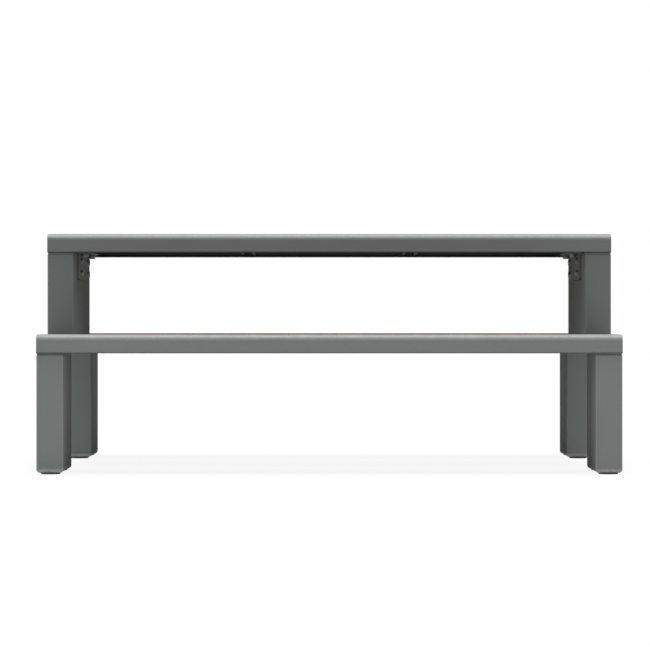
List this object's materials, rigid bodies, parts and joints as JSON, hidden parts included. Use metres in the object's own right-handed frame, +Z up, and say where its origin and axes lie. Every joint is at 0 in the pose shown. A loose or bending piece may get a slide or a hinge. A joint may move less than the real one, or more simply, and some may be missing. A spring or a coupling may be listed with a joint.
{
  "type": "rectangular table with attached benches",
  "caption": "Long rectangular table with a fixed bench on each side, in folded painted steel on slab legs, with hardwood slats.",
  "frame": {"origin": "on the floor, under the middle of the table", "axes": "+X along the length, -Y towards the front, +Z up"},
  "size_m": [1.8, 1.66, 0.75],
  "materials": {
    "painted_steel": "fine satin powder coat",
    "hardwood": "oiled, reddish brown",
    "plated_steel": "zinc plated",
    "black_plastic": "moulded, matt"
  },
  "bodies": {
    "frame": {"front_left_leg": "painted_steel", "front_right_leg": "painted_steel", "rear_left_leg": "painted_steel", "rear_right_leg": "painted_steel", "left_end_beam": "painted_steel", "right_end_beam": "painted_steel", "left_table_leg": "painted_steel", "right_table_leg": "painted_steel", "front_seat_edge": "painted_steel", "front_seat_rail": "painted_steel", "front_seat_left_cover": "painted_steel", "front_seat_right_cover": "painted_steel", "front_seat_bearers": "painted_steel", "front_seat_slat_1": "hardwood", "front_seat_slat_2": "hardwood", "front_seat_slat_3": "hardwood", "rear_seat_edge": "painted_steel", "rear_seat_rail": "painted_steel", "rear_seat_left_cover": "painted_steel", "rear_seat_right_cover": "painted_steel", "rear_seat_bearers": "painted_steel", "rear_seat_slat_1": "hardwood", "rear_seat_slat_2": "hardwood", "rear_seat_slat_3": "hardwood", "table_front_edge": "painted_steel", "table_rear_edge": "painted_steel", "table_left_cover": "painted_steel", "table_right_cover": "painted_steel", "table_end_bearers": "painted_steel", "table_cross_braces": "painted_steel", "table_brackets": "painted_steel", "table_slat_1": "hardwood", "table_slat_2": "hardwood", "table_slat_3": "hardwood", "table_slat_4": "hardwood", "table_slat_5": "hardwood", "table_slat_6": "hardwood", "bracket_bolts": "plated_steel", "rivet_nuts": "plated_steel", "beam_bolts": "plated_steel", "beam_sleeves": "plated_steel", "slat_screws": "plated_steel", "foot_bosses": "plated_steel"},
    "pad_1": {"foot_pad_1": "black_plastic"},
    "stud_1": {"foot_stud_1": "plated_steel"},
    "pad_2": {"foot_pad_2": "black_plastic"},
    "stud_2": {"foot_stud_2": "plated_steel"},
    "pad_3": {"foot_pad_3": "black_plastic"},
    "stud_3": {"foot_stud_3": "plated_steel"},
    "pad_4": {"foot_pad_4": "black_plastic"},
    "stud_4": {"foot_stud_4": "plated_steel"},
    "pad_5": {"foot_pad_5": "black_plastic"},
    "stud_5": {"foot_stud_5": "plated_steel"},
    "pad_6": {"foot_pad_6": "black_plastic"},
    "stud_6": {"foot_stud_6": "plated_steel"},
    "pad_7": {"foot_pad_7": "black_plastic"},
    "stud_7": {"foot_stud_7": "plated_steel"},
    "pad_8": {"foot_pad_8": "black_plastic"},
    "stud_8": {"foot_stud_8": "plated_steel"}
  },
  "joints": [
    {"name": "foot_1_rise", "type": "slide", "parent": "frame", "child": "pad_1", "axis": [0, 0, -1], "range_m": [0, 0.015]},
    {"name": "foot_1_turn", "type": "hinge", "parent": "pad_1", "child": "stud_1", "pos_m": [-0.859, -0.784, 0.02], "axis": [0, 0, -1], "range_deg": [0, 3090]},
    {"name": "foot_2_rise", "type": "slide", "parent": "frame", "child": "pad_2", "axis": [0, 0, -1], "range_m": [0, 0.015]},
    {"name": "foot_2_turn", "type": "hinge", "parent": "pad_2", "child": "stud_2", "pos_m": [-0.859, -0.496, 0.02], "axis": [0, 0, -1], "range_deg": [0, 3090]},
    {"name": "foot_3_rise", "type": "slide", "parent": "frame", "child": "pad_3", "axis": [0, 0, -1], "range_m": [0, 0.015]},
    {"name": "foot_3_turn", "type": "hinge", "parent": "pad_3", "child": "stud_3", "pos_m": [0.859, -0.784, 0.02], "axis": [0, 0, -1], "range_deg": [0, 3090]},
    {"name": "foot_4_rise", "type": "slide", "parent": "frame", "child": "pad_4", "axis": [0, 0, -1], "range_m": [0, 0.015]},
    {"name": "foot_4_turn", "type": "hinge", "parent": "pad_4", "child": "stud_4", "pos_m": [0.859, -0.496, 0.02], "axis": [0, 0, -1], "range_deg": [0, 3090]},
    {"name": "foot_5_rise", "type": "slide", "parent": "frame", "child": "pad_5", "axis": [0, 0, -1], "range_m": [0, 0.015]},
    {"name": "foot_5_turn", "type": "hinge", "parent": "pad_5", "child": "stud_5", "pos_m": [-0.859, 0.784, 0.02], "axis": [0, 0, -1], "range_deg": [0, 3090]},
    {"name": "foot_6_rise", "type": "slide", "parent": "frame", "child": "pad_6", "axis": [0, 0, -1], "range_m": [0, 0.015]},
    {"name": "foot_6_turn", "type": "hinge", "parent": "pad_6", "child": "stud_6", "pos_m": [-0.859, 0.496, 0.02], "axis": [0, 0, -1], "range_deg": [0, 3090]},
    {"name": "foot_7_rise", "type": "slide", "parent": "frame", "child": "pad_7", "axis": [0, 0, -1], "range_m": [0, 0.015]},
    {"name": "foot_7_turn", "type": "hinge", "parent": "pad_7", "child": "stud_7", "pos_m": [0.859, 0.784, 0.02], "axis": [0, 0, -1], "range_deg": [0, 3090]},
    {"name": "foot_8_rise", "type": "slide", "parent": "frame", "child": "pad_8", "axis": [0, 0, -1], "range_m": [0, 0.015]},
    {"name": "foot_8_turn", "type": "hinge", "parent": "pad_8", "child": "stud_8", "pos_m": [0.859, 0.496, 0.02], "axis": [0, 0, -1], "range_deg": [0, 3090]}
  ],
  "couplings": [
    {"joint": "foot_1_turn", "follows": "foot_1_rise", "rad_per_m": 3590.4},
    {"joint": "foot_2_turn", "follows": "foot_2_rise", "rad_per_m": 3590.4},
    {"joint": "foot_3_turn", "follows": "foot_3_rise", "rad_per_m": 3590.4},
    {"joint": "foot_4_turn", "follows": "foot_4_rise", "rad_per_m": 3590.4},
    {"joint": "foot_5_turn", "follows": "foot_5_rise", "rad_per_m": 3590.4},
    {"joint": "foot_6_turn", "follows": "foot_6_rise", "rad_per_m": 3590.4},
    {"joint": "foot_7_turn", "follows": "foot_7_rise", "rad_per_m": 3590.4},
    {"joint": "foot_8_turn", "follows": "foot_8_rise", "rad_per_m": 3590.4}
  ]
}
